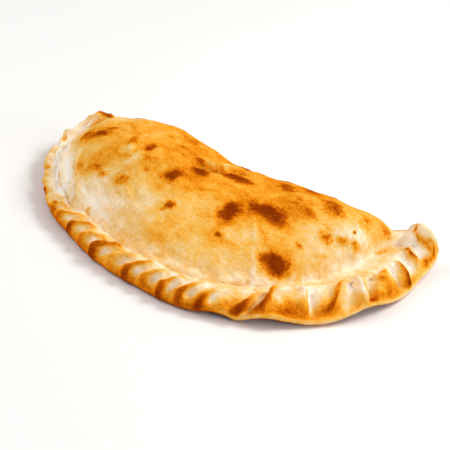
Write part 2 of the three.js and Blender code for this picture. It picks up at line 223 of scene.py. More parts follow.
# How far in from its foot the rim's underside comes down flat: less at the two tips.
sole_width = track((-13, 3), (4, 14), (172, 14), (192, 3))
ridge_height = track(
    (-125, 38), (-108, 43), (-92, 46.5), (-75, 50.5), (-58, 52.5), (-42, 50.5), (-28, 47), (-12, 41),
    (5, 41), (25, 41.5), (40, 43.5), (56, 44), (74, 42.5), (90, 38.2), (106, 34.5), (122, 27),
)
fold_line = track(
    (-128, 41), (-116, 38), (-100, 35.5), (-70, 35.5), (-40, 35), (0, 34), (40, 34), (80, 33.5), (104, 34),
    (116, 36.5), (130, 40),
)
fold_height = track(
    (-120, 31), (-112, 30), (-105, 26), (-97, 21.5), (-86, 19), (-60, 19), (0, 18), (60, 16), (88, 15),
    (100, 17.5), (116, 21),
)
back_length = track((-110, 30), (-80, 42), (-50, 46), (-30, 50), (0, 56), (60, 56), (90, 46), (116, 30))
back_power = track((-110, 2.2), (-60, 2.25), (-30, 2.15), (0, 2), (60, 2), (116, 2))
rope_size = track((-13, 0.6), (0, 1.4), (34, 1.7), (40, 1.9), (46, 2.6), (56, 3.0), (90, 3.0), (104, 2.4))

# Strands of the rope crimp, counted along it: whole numbers are the middles of the dents between them.
strand = track(
    (-13, -12.2), (0, -9.3), (44, 0), (50, 1), (55.8, 2), (61.8, 3), (68, 4), (74.3, 5), (79.6, 6),
    (84.9, 7), (90, 8), (95.2, 9), (101, 10), (107, 11),
)

# A finger's dent between two strands: the section step it sits at, how it leans, its half width in strands,
# its half length in steps, and its depth.
DENT_STEP = 0.53
DENT_LEAN = 0.41
DENT_WIDTH = 0.22
DENT_LENGTH = 0.33
DENT_DEPTH = 1.7

# The deep crease where the high left side meets the lower right side, its depth, and the lip beside it.
CREASE = ((-34, -38), (-21.5, -20), (-11.5, -11), (-4, 9), (6, 27))
CREASE_DEPTH = 2.8
CREASE_LIP = 3.0

# Folds of the wide right-hand crimp: angle at the lip, angle at the crest, spread to the left and to the
# right, height, where along the section the fold starts and ends, and how browned it is.
FOLDS = (
    (106.6, 112.7, 1.7, 1.3, 4.0, -0.1, 0.95, 0.4),
    (111.4, 117.3, 1.7, 2.0, 4.8, 0.15, 1.4, 0.4),
    (126.6, 128.2, 3.4, 1.5, 3.0, 0.2, 1.4, -0.2),
    (131.5, 142.3, 2.4, 1.6, 4.2, 0.3, 1.3, 0.4),
    (145.0, 150.5, 1.8, 1.7, 4.2, 0.05, 1.35, -0.25),
    (153.4, 161.6, 5.0, 4.2, 4.4, 0.1, 1.3, 0.15),
    (167.5, 171.3, 1.4, 1.2, 3.4, 0.05, 1.3, 0.55),
    (175.7, 179.7, 1.5, 1.4, 3.8, 0.5, 1.5, 0.45),
    (184.0, 188.5, 3.0, 4.5, 3.4, 0.3, 1.3, 0),
)
# Pinched grooves between them, on the same pattern with their depth.
GROOVES = (
    (109.3, 115.4, 1.2, 1.3, 2.4, 0, 1.2, -0.3),
    (128.6, 131.2, 2.0, 3.4, 4.6, 0.1, 1.6, -0.2),
    (139.0, 147.5, 3.2, 3.0, 2.2, 0.1, 1.5, -0.3),
    (142.9, 149.1, 1.1, 0.9, 2.4, 0.75, 1.7, -0.2),
    (146.8, 157.2, 1.8, 2.2, 3.4, 0.2, 1.6, -0.1),
    (164.8, 167.6, 1.9, 1.6, 4.0, 0.15, 1.6, -0.4),
    (174.6, 176.6, 3.2, 2.4, 3.4, 0.15, 1.6, -0.35),
    (181.0, 184.0, 1.7, 1.6, 3.2, 0.4, 1.7, -0.3),
)

# The curl of dough that sticks out of the left rim: its rim angle, step, spreads and height.
CURL = (0.6, 0.9, 2.4, 0.4, 3.2)

# How far the crimp lies below its folds' feet, and where along the rim the rope gives way to the folds.
FOLD_BASE = 1.0
ROPE_END = 98.0
FOLDS_BEGIN = 106.0


def crease_distance(x, y):
    """Signed distance from the crease, and how far along it."""
    best = np.full(np.shape(x), 1e9)
    side = np.zeros_like(best)
    along = np.zeros_like(best)
    legs = len(CREASE) - 1
    for i, (start, end) in enumerate(zip(CREASE, CREASE[1:])):
        ex, ey = end[0] - start[0], end[1] - start[1]
        t = np.clip(((x - start[0]) * ex + (y - start[1]) * ey) / (ex * ex + ey * ey), 0, 1)
        px, py = x - start[0] - ex * t, y - start[1] - ey * t
        d = np.hypot(px, py)
        near = d < best
        best = np.where(near, d, best)
        side = np.where(near, np.sign(ex * py - ey * px), side)
        along = np.where(near, (i + t) / legs, along)
    return best * side, along


def crease_relief(x, y):
    d, along = crease_distance(x, y)
    strength = smooth(0, 0.3, along) * (1 - 0.75 * smooth(0.55, 0.85, along))
    groove = -CREASE_DEPTH * np.exp(-((d + 1.2) ** 2) / 8)
    lip = CREASE_LIP * np.exp(-((d - 4.2) ** 2) / 16)
    return strength * (groove + lip)


def skin_waves(x, y):
    long = 0.9 * np.sin(0.055 * x + 0.03 * y + 0.6) * np.sin(0.07 * y - 0.02 * x + 1.1)
    short = 0.45 * np.sin(0.16 * x - 0.05 * y) * np.sin(0.12 * y + 0.05 * x + 0.8)
    return long + short


def rim_angle(x, y):
    theta = np.degrees(np.arctan2(-(y - ARC[1]), -(x - ARC[0])))
    return np.where(theta < -90, theta + 360, theta)


def rise_share(x, y):
    """How far up the dome's front a point is: 0 in the valley behind the crimp, 1 on the ridge."""
    theta = rim_angle(x, y)
    reach = rim_radius(theta) - valley_inset(theta) - np.hypot(x - ARC[0], y - ARC[1])
    return np.clip((reach - foot_floor(theta)) / rise_length(theta), 0, 1)


def back_share(x, y):
    """0 on the fold line at the back, 1 where the back's rounding has reached the ridge."""
    return np.clip((fold_line(x) - y) / back_length(x), 0, 1)


def roof_height(x, y):
    theta = rim_angle(x, y)
    t = rise_share(x, y)
    soft = np.sin((math.pi / 2) * t ** 0.9) ** 0.92
    full = (1 - (1 - t * t / (t + 0.03)) ** 2.3) ** (1 / 2.1)
    front = mix(valley_height(theta), ridge_height(x), mix(soft, full, foot_bulge(theta)))
    back = back_share(x, y)
    power = back_power(x)
    bow = (1 - (1 - back) ** power) ** (1 / power)
    relief = (crease_relief(x, y) + skin_waves(x, y)) * smooth(0.1, 0.5, t) * smooth(0.05, 0.3, back)
    return mix(fold_height(x), front, bow) + relief


def rope_wave(theta, w):
    """Raised (about 1) and sunk (0) parts of the rope: each strand climbs between two dents and bends over
    the next, and some stand higher than others."""
    turn = 0.65 * smooth(0.4, 1.1, w) + 0.4 * np.maximum(w - 1, 0)
    place = strand(theta) - turn
    size = 1 + 0.22 * np.sin(2.7 * np.floor(place))
    return size * (0.5 - 0.5 * np.cos(2 * math.pi * place)) ** 0.85


def finger_dents(theta, w):
    """Oval dents left by the fingers between the strands: 1 in the middle of each, 0 outside."""
    place = strand(theta) - DENT_LEAN * (w - DENT_STEP)
    number = np.round(place)
    across = (place - number) / (DENT_WIDTH + 0.03 * np.sin(2.4 * number))
    along = (w - DENT_STEP - 0.04 * np.sin(4.1 * number)) / (DENT_LENGTH + 0.05 * np.cos(1.7 * number))
    present = between(theta, 38, 46, 100, 104)
    return present * (1 - smooth(0.4, 1.25, np.hypot(across, along)))


def rope_relief(theta, w):
    fade = between(w, -0.35, 0.15, 1.05, 1.8)
    return fade * rope_size(theta) * (rope_wave(theta, w) - 0.5) - DENT_DEPTH * finger_dents(theta, w)


def along_fold(fold, theta, w):
    """A fold's or groove's share, 1 on its line and 0 away from it."""
    lip, crest, left, right, _, start, end, _ = fold
    offset = theta - mix(lip, crest, np.clip(w, 0, 1.3) ** 1.4)
    spread = np.where(offset < 0, left, right) * mix(1.9, 0.95, np.clip(w, 0, 1))
    shape = 0.5 + 0.5 * np.cos(math.pi * np.minimum(np.abs(offset) / spread, 1))
    return shape * between(w, start - 0.08, start + 0.32, end - 0.5, end + 0.45)


def fold_relief(theta, w):
    total = sum(fold[4] * along_fold(fold, theta, w) for fold in FOLDS)
    total = total - sum(groove[4] * along_fold(groove, theta, w) for groove in GROOVES)
    return (total - FOLD_BASE) * between(w, 0, 0.3, 1.25, 1.95)


def curl_relief(theta, w):
    angle, step, wide, tall, height = CURL
    return height * np.exp(-((theta - angle) / wide) ** 2 - ((w - step) / tall) ** 2)


def crimp_relief(theta, w):
    crimp = mix(rope_relief(theta, w), fold_relief(theta, w), smooth(ROPE_END, FOLDS_BEGIN, theta))
    return crimp + curl_relief(theta, w)


def sole_and_tuck(w):
    """How far the section has crossed the flat underside, and the tuck's angle from there up to the lip."""
    return np.clip((w + 1) / 0.5, 0, 1), np.clip((w + 0.5) / 0.5, 0, 1) * (math.pi / 2)


def rim_section(theta, w, reach, valley_top):
    """Inset and height of the rim's section: -1 underside, 0 outermost, 1 crest, 2 valley."""
    lift = rim_lift(theta)
    bulge = bulge_height(theta) + lift
    foot = 3.5 + 0.3 * bulge_height(theta)
    crest_u, crest_z = crest_inset(theta), crest_height(theta)
    flat, tuck = sole_and_tuck(w)
    face = np.clip(w, 0, 1)
    slope = np.clip(w - 1, 0, 1)
    round_share = roundness(theta)
    across = mix(face ** 1.35, 1 - np.cos(face * math.pi / 2), round_share)
    up = mix(face, np.sin(face * math.pi / 2), np.maximum(round_share, 0.4))
    down = 0.5 - 0.5 * np.cos(math.pi * slope)
    zones = [w < -0.5, w < 0, w <= 1]
    sole = mix(foot + sole_width(theta), foot, flat)
    u = np.select(zones, [sole, foot * (1 - np.sin(tuck)), crest_u * across], mix(crest_u, reach, slope))
    tucked = lift + (bulge - lift) * (1 - np.cos(tuck))
    z = np.select(zones, [lift * smooth(0, 1, flat), tucked, mix(bulge, crest_z, up)],
                  mix(crest_z, valley_top, down))
    return u, z


def outline():
    """Stations round the outline, as rows of rim angle, place, inner end of the section, and folded share."""
    theta = np.linspace(ARC_START, ARC_END, RIM_STATIONS)
    nx, ny = np.cos(np.radians(theta)), np.sin(np.radians(theta))
    r = rim_radius(theta)
    x, y = ARC[0] - r * nx, ARC[1] - r * ny
    # The section's inner end comes to rest softly in front of the fold line.
    inset = valley_inset(theta)
    ex = x + nx * inset
    limit = fold_line(ex) - FOLD_JOIN
    over = y + ny * inset - limit
    ey = limit + 0.5 * (over - np.hypot(over, 2.5))
    rim = np.stack([theta, x, y, ex, ey, np.zeros_like(x)], 1)
    x = np.linspace(FOLD_RIGHT, FOLD_LEFT, FOLD_STATIONS)
    line = fold_line(x)
    back = np.stack([np.zeros_like(x), x, line, x, line - FOLD_JOIN, np.ones_like(x)], 1)

    def corner(start, end, angle, turn):
        # Each corner bows outwards a little.
        t = (np.arange(CORNER_STATIONS) + 1) / (CORNER_STATIONS + 1)
        rows = start + (end - start) * t[:, None]
        bow = CORNER_BOW * np.sin(math.pi * t)
        rows[:, 0] = angle
        rows[:, 1] += np.sign(start[1]) * bow * 0.4
        rows[:, 2] += bow * 0.9
        rows[:, 5] = smooth(*turn, t if end[5] > start[5] else 1 - t)
        return rows

    return np.concatenate([
        rim, corner(rim[-1], back[0], ARC_END, RIGHT_TURN), back,
        corner(back[-1], rim[0], ARC_START, LEFT_TURN),
    ])


def edge_points(stations, w):
    """Places of the crimp and of the folded back: one row for each step w, one column for each station."""
    theta, x, y, ex, ey, folded = stations.T
    reach = np.hypot(ex - x, ey - y)
    nx, ny = (ex - x) / reach, (ey - y) / reach
    w = w[:, None]
    valley_top = roof_height(ex, ey)
    u, z = rim_section(theta, w, reach, valley_top)
    u1, z1 = rim_section(theta, np.minimum(w + 0.03, 2), reach, valley_top)
    u0, z0 = rim_section(theta, np.maximum(w - 0.03, -1), reach, valley_top)
    length = np.maximum(np.hypot(u1 - u0, z1 - z0), 1e-6)
    relief = crimp_relief(theta, w) * (1 - folded)
    pu = u - relief * (z1 - z0) / length
    pz = np.maximum(z + relief * (u1 - u0) / length, 0)
    crimped = np.stack([x + nx * pu, y + ny * pu, pz], -1)

    edge = fold_height(x)
    flat, tuck = sole_and_tuck(w)
    zones = [w < -0.5, w < 0]
    sole = mix(FOLD_SOLE, FOLD_FOOT, flat) + 0 * x
    over = reach * (1 - np.cos(np.clip(w, 0, 2) * math.pi / 4))
    u = np.select(zones, [sole, FOLD_FOOT * (1 - np.sin(tuck)) + 0 * x], over)
    fx, fy = x + nx * u, y + ny * u
    z = np.select(zones, [0 * fx, edge * (1 - np.cos(tuck)) + 0 * fx], roof_height(fx, fy))
    back = np.stack([fx, fy, z], -1)
    return mix(crimped, back, folded[None, :, None])


# ---------------------------------------------------------------- baking marks

# Folds drawn in the skin of the left side, as ridges (+) and grooves (-): the line's two ends, half width
# and height.
SKIN_FOLDS = (
    (-74, -64, -65.5, -56.3, 2.8, 1.1), (-65.5, -56.3, -58, -45.5, 2.8, 1.2),
    (-58, -45.5, -50.5, -34, 2.6, 0.9), (-66.5, -50, -68.6, -40, 2.2, 0.9),
    (-68.6, -40, -66.5, -25, 2.2, 1.1), (-66.5, -25, -59, -15, 2.4, 0.9),
    (-109.5, -46, -105.3, -57, 1.3, -2.6), (-101, -73.5, -90, -79.2, 1.2, -2.2),
    (-101.3, -59, -95.3, -67.3, 1.1, -2.0), (-96, -62, -91.6, -70, 1.0, -1.5),
    (-106.5, -46.5, -101.5, -57.5, 1.6, 1.3), (-98.5, -61.5, -93, -69.5, 1.2, 1.1),
    (-128.5, -9, -128.8, -0.5, 1.0, -1.4), (-104, -60, -99, -68.5, 1.4, 1.0),
)

# Scorched blisters on the dome: place, half length, half width, turn in degrees, how dark, and how far it
# stands up.
SCORCHES = (
    # big dark blisters on the right half
    (9.6, -54, 8.8, 4.7, 84, 1.0, 1.0), (6.6, -58.6, 4.8, 3.6, 60, 0.8, 0.4),
    (32, -41.4, 11.5, 6.4, -8, 1.0, 1.1), (25, -41.4, 6.5, 5.4, 10, 0.95, 0.5),
    (41.5, -47, 4, 3.4, -35, 0.5, 0.4), (49.5, -71.3, 7.4, 4.8, 40, 1.0, 0.9),
    (43.5, -73, 5.5, 3.4, 20, 0.8, 0.3), (54.5, -67, 4.0, 2.8, 60, 0.7, 0.3),
    # along the top of the right half
    # (0, -14.4) is a dark patch by the crease: partly scorch, partly painted shade from the crease.
    (0, -14.4, 9.5, 5.6, -12, 0.9, 0.8), (-1, -5, 4, 4, 80, 0.45, 0.3), (9, -15, 4, 3, 0, 0.42, 0.2),
    (32, -3, 11, 4.8, -64, 0.66, 0.8), (67, -10, 8.5, 6.2, -62, 0.68, 0.8), (72, -13, 5, 4, -30, 0.34, 0.2),
    (48, 9, 9.5, 6, 84, 0.5, 0.5), (53.5, -27, 5.4, 2.7, -18, 0.38, 0.3),
    (44, -24.7, 2.8, 1.5, -10, 0.4, 0.1), (45.5, -19, 2.2, 1.5, 30, 0.22, 0.1),
    (71.5, -34, 4.4, 3.2, 32, 0.62, 0.3), (81, -26, 5.5, 2.0, 38, 0.46, 0.1),
    (89, -19.2, 5, 1.9, 42, 0.42, 0.1), (85.9, -15.2, 1.6, 0.7, 62, 0.95, 0.1),
    (69, -28.5, 4.4, 1.0, 4, 0.14, 0.1), (57, -51.6, 3.6, 1.4, 6, 0.3, 0.1),
    (76, -34, 5, 1.0, 42, 0.18, 0.1), (73, -45, 5, 1.0, 44, 0.18, 0.1), (10, -74.7, 2.1, 1.7, 0, 0.6, 0.5),
    (24, -11, 2.8, 3.2, 0, 0.2, 0.1), (37, -62, 5, 2.4, -50, 0.2, 0.1), (65, -67, 2.6, 1.2, 50, 0.2, 0.1),
    (90, 3, 8, 5, 70, 0.18, 0.3), (103, 19, 3.4, 2.2, 60, 0.4, 0.2), (106, 23, 3.6, 2.2, 60, 0.4, 0.2),
    (104.5, 4.5, 3.6, 1.6, 66, 0.34, 0.1), (106, 6, 5.5, 0.9, 66, 0.3, 0.1),
    # round the crease
    (-22, -31, 6.6, 3.8, 58, 1.0, 0.7), (-26, -22, 4.6, 1.7, 44, 0.62, 0.3),
    (-17.5, -10.5, 4.8, 0.9, 47, 0.5, 0.2), (-14.6, -18.2, 6.5, 0.9, 58, 0.9, 0.0),
    (-2, 17.5, 8, 2.2, 25, 0.85, 0.2), (7, 15, 4.5, 2.6, -20, 0.85, 0.3),
    # left half
    (-34, -50.3, 6.8, 4.4, 62, 0.92, 0.7), (-98, -24.5, 8.5, 3.6, -16, 0.78, 0.8),
    (-108.5, -20, 8.5, 3, -52, 0.5, 0.4), (-91, -19, 5, 3.4, 10, 0.5, 0.4),
    (-69.8, -36, 7, 2.9, 88, 0.5, 0.4), (-56, -38, 6.2, 2.6, 86, 0.74, 0.5),
    (-40, 4, 7, 3.6, 84, 0.42, 0.4), (-46, 6, 5, 1.4, 84, 0.18, 0.2), (-63, -63.3, 4.4, 2.3, 12, 0.42, 0.3),
    (-77, -61.6, 3.6, 1.4, -6, 0.42, 0.2), (-88, -57, 6.5, 1.9, -10, 0.3, 0.2),
    (-98, -52.5, 6, 1.6, -52, 0.3, 0.2), (-67, -51.2, 3, 1.4, 0, 0.28, 0.1),
    (-53, -47.3, 5, 1.8, 24, 0.32, 0.1), (-51.3, -54, 2.4, 1.0, 50, 0.36, 0.1),
    (-79, -13, 9, 1.6, -58, 0.22, 0.1), (-51.5, -10.5, 2.6, 2, 0, 0.24, 0.1),
    (-40.5, -14.2, 3, 2.4, 0, 0.28, 0.1), (-37, -61.4, 3.4, 1.6, 10, 0.2, 0.1),
    (-26.3, -70, 3.6, 2.0, 45, 0.66, 0.7), (-29, -73.5, 3, 1.2, 50, 0.3, 0.1),
    (-78, -46, 7, 1.3, -42, 0.2, 0.1), (-66, -13, 3, 2, 60, 0.14, 0.1),
    (-98, -55.5, 2.6, 1.0, -20, 0.4, 0.1), (-108, -55, 4.6, 0.6, -62, 0.4, 0.0),
    (-35, -26, 3, 2, 60, 0.14, 0.1), (-76.8, -77.6, 1.8, 1.5, 0, 0.4, 0),
    # the folded back
    (-84, 18, 7, 4, 10, 0.6, 0.6), (-55, 22, 5, 3, -15, 0.42, 0.3), (-34, 27, 6, 3.4, 8, 0.66, 0.6),
    (26, 21, 7, 3.6, -8, 0.72, 0.7), (62, 20, 5, 3, 12, 0.5, 0.4), (86, 23, 4, 2.4, 0, 0.4, 0.2),
    (-100, 24, 4, 2.2, 20, 0.4, 0.2), (8, 26, 3, 1.6, 0, 0.3, 0.1),
)

# Wide soft patches on the dome, on the same pattern: more browned (+) or paler (-).
TONES = (
    (20, -30, 40, 22, -8, 0.08), (-40, -30, 36, 24, 20, 0.06), (-99, -20, 14, 6, -24, 0.1),
    (-84, -40, 20, 12, -30, 0.05), (-60, -32, 24, 15, 30, 0.05), (-40, 6, 26, 12, 0, 0.07),
    (-92, -52, 14, 6, -34, 0.1), (0, 8, 60, 12, 0, 0.05), (40, 2, 26, 9, -8, 0.1), (96, 5, 7, 6, 60, 0.06),
    (-35, -18, 10, 10, 0, 0.08), (-6, -36, 22, 14, 20, 0.04), (34, -40, 20, 14, -10, 0.18),
    (50, -70, 12, 8, 40, 0.12), (12, -56, 9, 12, 10, 0.12), (-22, -44, 9, 8, 30, 0.12),
    (72, -30, 20, 10, 26, -0.18), (73, -48, 24, 12, 38, -0.2), (92, -14, 24, 12, 54, -0.12),
    (101, 6, 18, 6, 66, -0.1), (90, -17, 12, 8, 50, -0.24), (92, -32, 9, 5, 50, -0.08),
    (54, -44, 12, 8, 20, -0.1), (-43, -69, 5, 7, 60, -0.2), (-79, -69, 15, 6.5, -16, -0.3),
    (-68, -76, 12, 6, -20, -0.1), (-117, -32, 20, 5.5, -62, -0.3), (-105, -54, 16, 5, -54, -0.3),
    (-106, -38, 10, 5, -60, -0.24), (-94, -41, 6, 5, -40, -0.14), (-65, -74, 9, 6, -10, 0.06),
    (-62, -86, 14, 5, -24, 0.02), (-56, -62, 9, 5, 10, -0.1), (-62, -76, 12, 6, -10, -0.1),
    (-42, -82, 10, 6, 0, -0.1), (-20, -92, 20, 7, -4, 0.1), (-18, -104, 16, 6, -4, 0.1),
    (38, -86, 10, 5, 30, -0.14), (-10, -80, 22, 10, 0, 0.04), (-23, -80, 6, 4, 0, 0.14),
    (12, -79, 10, 3, 8, 0.12), (7, -70, 3, 6, -20, 0.14), (-69, -43.5, 4, 3, 0, -0.26),
    (112, -16, 6, 16, 34, -0.1), (-120, -8, 8, 14, 0, -0.2), (-100, 6, 14, 10, 0, -0.14),
    (-58, -20, 12, 9, 40, -0.04), (-62, -52, 14, 3, 26, -0.1), (-7, -4, 3.6, 10, 62, -0.16),
    (-3, 9, 4, 8, 60, -0.1), (-13, -16, 6, 2.4, 50, -0.2), (44, -51, 4, 3, 40, -0.12),
    (-16, -62, 6, 9, 0, -0.04), (22, -66, 10, 6, 20, -0.08), (20, -24, 8, 5, 20, -0.06),
    (60, -14, 6, 4, 0, -0.04), (60, -36, 7, 3, 30, -0.06), (50, 6, 12, 10, -10, 0.12),
    (40, -57, 6, 4, 0, -0.04), (66, -58, 12, 8, 30, 0.08), (-50, -30, 8, 8, 30, 0.06),
    (50, -26, 14, 8, -10, 0.14), (48, -84, 12, 3.4, 44, -0.3), (68, -64.5, 17, 3.6, 44, -0.3),
)

# The same on the crimp: rim angle, step, their spreads, and the tone.
RIM_TONES = (
    # the tip and the slack rim on the left
    (-13, 1.5, 0.8, 0.7, 0.36), (-8.5, 0.9, 1.5, 0.5, 0.12), (-6, 0.5, 1.5, 0.3, 0.3),
    (-1.2, 0.4, 1.0, 0.3, 0.42), (2.6, 0.3, 0.9, 0.3, 0.5), (3.6, 0.95, 1.0, 0.16, 0.5),
    (11.5, 1.0, 1.6, 0.15, 0.28), (20.3, 0.2, 0.9, 0.3, 0.5), (28, 0.1, 1.4, 0.3, 0.05),
    (32.7, 0.1, 1.0, 0.25, 0.6), (36.5, 0.2, 1.0, 0.25, 0.1), (43.2, 0.25, 1.0, 0.3, 0.4),
    (42.2, 0.6, 1.0, 0.12, 0.3), (26, 2.0, 2.5, 0.2, 0.25),
    # the rope
    (64, 1.15, 13, 0.28, 0.26), (52.5, 0.15, 1.3, 0.3, 0.35), (64.6, 0.3, 1.4, 0.3, 0.15),
    (77, 0.15, 1.5, 0.25, 0.2), (87.3, 0.1, 1.4, 0.25, 0.2), (97.6, 0.15, 1.3, 0.25, 0.4),
    (98.6, 0.5, 1.1, 0.18, 0.25), (92, 1.25, 1.5, 0.2, 0.35), (92.3, 0.65, 1.3, 0.2, 0.15),
    (94, 1.0, 9, 0.4, -0.24), (102.5, 0.4, 1.6, 0.35, -0.2),
    # the folds on the right
    (116.5, 0.35, 2, 0.3, -0.14), (119.5, 0.8, 1.2, 0.2, -0.25), (121.5, 1.15, 2, 0.25, -0.1),
    # (126, 1.4) is painted shade in the crevice at the dome's foot.
    (126, 1.4, 1, 0.25, 0.2), (129.6, 0.55, 0.9, 0.25, -0.3), (131.5, 0.9, 1.4, 0.25, -0.3),
    (134, 1.15, 1.9, 0.28, -0.28), (134.5, 0.38, 2.6, 0.2, 0.14), (122, 0.45, 8, 0.35, 0.26),
    (140, 0.45, 1.2, 0.2, -0.15), (147.5, 0.6, 1.2, 0.4, -0.2), (150.2, 1.2, 0.6, 0.2, 0.25),
    (149.5, 0.3, 1.5, 0.15, 0.3), (156.5, 0.95, 1.6, 0.2, -0.15), (158, 0.82, 1.6, 0.12, 0.3),
    (161.5, 1.0, 1.6, 0.12, 0.35), (160.5, 0.6, 1.6, 0.25, 0.1), (154.6, 0.42, 1.2, 0.15, -0.2),
    (157.5, 0.2, 2.2, 0.15, 0.16), (165.5, 0.9, 1.2, 0.3, -0.2), (176.5, 0.6, 2.2, 0.35, -0.2),
    (183.7, 0.65, 1.2, 0.25, -0.2), (181.2, 0.36, 1.4, 0.16, 0.16), (188.1, 1.25, 0.9, 0.16, 0.9),
    (186.4, 1.14, 0.5, 0.18, 0.6), (185.7, 0.96, 0.45, 0.16, 0.6), (185.2, 0.76, 0.4, 0.16, 0.55),
    (184.6, 0.58, 0.4, 0.14, 0.5), (186.0, 0.64, 0.4, 0.12, 0.4), (185.8, 0.4, 0.45, 0.14, 0.5),
    (185.4, 0.23, 0.6, 0.1, 0.4), (183.8, 0.24, 0.9, 0.08, 0.25), (186.6, 0.7, 3, 0.6, -0.25),
    (186.5, 1.5, 3, 0.3, -0.24), (130, 1.6, 14, 0.35, -0.2), (110.5, 1.45, 3.5, 0.3, -0.14),
    (166, 1.7, 12, 0.45, -0.16), (182.4, 0.46, 0.8, 0.12, 0.2), (181.4, 1.3, 0.7, 0.14, 0.3),
    (179.3, 0.95, 0.7, 0.16, 0.3), (170, -0.1, 14, 0.18, -0.2), (130, -0.1, 16, 0.15, -0.12),
)

# Where the two tips' dough is browned, on the pattern of TONES.
TIP_TONES = (
    (-119, 33, 6.5, 8, 0, 0.6), (-123, 22, 4, 5, 0, 0.12), (111, 31, 10, 9, 0, -0.4),
)

# How browned the dome is on the whole, and how much paler where it meets the crimp.
DOME_TONE = 0.54
foot_paleness = track((60, 0.13), (98, 0.13), (116, 0.03), (138, 0.04), (148, 0.1), (192, 0.18))

# How browned the crimp's section is from step to step: the rope, how far its strands differ from its dents,
# and the wide crimp on the right. Under the lip, below step 0, both sections turn dark brown: partly the
# browned edge of the base, partly painted shade for the gap under the lifted lip.
rope_section = track(
    (-1, 1.3), (-0.5, 1.25), (-0.28, 1.05), (-0.12, 0.88), (0.1, 0.8), (0.35, 0.69), (0.6, 0.58),
    (0.85, 0.5), (1.1, 0.42), (1.4, 0.26), (2, 0.2),
)
rope_swing = track(
    (-1, 0), (-0.3, 0.08), (0.1, 0.26), (0.4, 0.42), (0.7, 0.42), (1.0, 0.36), (1.25, 0.26), (1.6, 0.06),
    (2, 0),
)
apron_section = track(
    (-1, 1.3), (-0.5, 1.25), (-0.3, 0.95), (-0.12, 0.5), (0, 0.42), (0.15, 0.58), (0.35, 0.7), (0.6, 0.54),
    (0.85, 0.36), (1.1, 0.3), (1.5, 0.32), (2, 0.34),
)


def blot(x, y, cx, cy, a, b, turn):
    """Distance from a blot's middle, 1 on its edge."""
    c, s = math.cos(math.radians(turn)), math.sin(math.radians(turn))
    dx, dy = x - cx, y - cy
    return np.sqrt(((dx * c + dy * s) / a) ** 2 + ((dy * c - dx * s) / b) ** 2)


def scorch_fields(points):
    """How burnt each point is, and how far its blister stands up."""
    # The larger a blister is, the more its outline wanders, in millimetres.
    wander_x = lattice(points, 7.0, 11) + lattice(points, 2.6, 13)
    wander_y = lattice(points, 7.0, 12) + lattice(points, 2.6, 14)
    burnt = np.zeros(len(points))
    rise = np.zeros(len(points))
    for cx, cy, a, b, turn, depth, height in SCORCHES:
        loose = min(1.0, b / 5)
        d = blot(points[:, 0] + loose * wander_x, points[:, 1] + loose * wander_y, cx, cy, a, b, turn)
        core = 1 - smooth(0.35, 1.4, d)
        halo = 1 - smooth(0.8, 2.0, d)
        burnt = np.maximum(burnt, depth * (0.7 * core + 0.3 * halo))
        rise = np.maximum(rise, height * (1 - smooth(0.35, 1.15, d)))
    return burnt, rise


def seam_share(points):
    """1 on the pale seam that runs down the middle of the front, 0 away from it and where it breaks off."""
    x, y = points[..., 0], points[..., 1]
    ends = between(y, -94, -84, -56, -40)
    broken = smooth(-0.6, 0.3, lattice(points, 5.0, 34))
    return ends * broken * np.exp(-((x - 31 + 0.45 * (y + 67) + 1.6 * lattice(points, 9.0, 25)) ** 2) / 3.5)


def skin_folds(points):
    """Ridges and grooves drawn in the skin, in millimetres."""
    x, y = points[..., 0], points[..., 1]
    x, y = x + 0.8 * lattice(points, 6.0, 38), y + 0.8 * lattice(points, 6.0, 39)
    total = np.zeros_like(x)
    for x0, y0, x1, y1, width, height in SKIN_FOLDS:
        ex, ey = x1 - x0, y1 - y0
        t = ((x - x0) * ex + (y - y0) * ey) / (ex * ex + ey * ey)
        nearest = np.clip(t, 0, 1)
        d = np.hypot(x - x0 - ex * nearest, y - y0 - ey * nearest)
        share = height * np.exp(-((d / width) ** 2))
        total = np.where(np.abs(share) > np.abs(total), share, total)
    return total


def skin_fold_tone_and_shade(points):
    """The folds' ridges are paler than the skin round them, and their grooves are a little darker with
    painted shade.
    """
    folds = skin_folds(points)
    return 0.12 * np.maximum(folds, 0) + 0.06 * np.minimum(folds, 0)


# Distance from ARC at which streaks round the dome have their true length.
DOME_RADIUS = 125.0


def grain_along_rim(points, theta, across, along, seed):
    """Random streaks that run round the dome with the rim, across and along millimetres in size."""
    x, y = points[..., 0], points[..., 1]
    reach = rim_radius(theta) - np.hypot(x - ARC[0], y - ARC[1])
    place = np.stack([reach / across, np.radians(theta) * DOME_RADIUS / along, points[..., 2] * 0], -1)
    return lattice(place + 40, 1.0, seed)


def valley_share(points, theta, w):
    """1 in the valley between the crimp and the dome's foot, 0 elsewhere."""
    share = rise_share(points[..., 0], points[..., 1])
    return smooth(44, 56, theta) * smooth(1.1, 1.6, w) * (1 - smooth(0.02, 0.14, share))


def valley_lumps(points):
    """Lumps of the dough squeezed up in the valley, in millimetres: fewer behind the broad folds."""
    calm = 1 - 0.6 * smooth(118, 135, rim_angle(points[..., 0], points[..., 1]))
    return calm * (1.3 * lattice(points, 6.5, 35) + 0.7 * lattice(points, 2.8, 36))


def slack_skin(points, theta):
    """1 on the slack skin of the left side, low on the dome, 0 elsewhere."""
    share = rise_share(points[..., 0], points[..., 1])
    return between(theta, -12, 2, 44, 72) * (1 - smooth(0.14, 0.46, share))


def wrinkle_field(points, theta):
    """Wrinkles that run with the rim, about -1 in their hollows and 1 on their tops."""
    broad = 0.9 * grain_along_rim(points, theta, 3.2, 22, 24)
    middle = 0.6 * grain_along_rim(points, theta, 1.9, 12, 29)
    return broad + middle + 0.35 * grain_along_rim(points, theta, 1.1, 6, 37)


def soft_patches(x, y, patches):
    """The patches' tones, added up at each point."""
    return sum(
        tone * np.exp(-0.8 * blot(x, y, cx, cy, a, b, turn) ** 2.4) for cx, cy, a, b, turn, tone in patches
    )


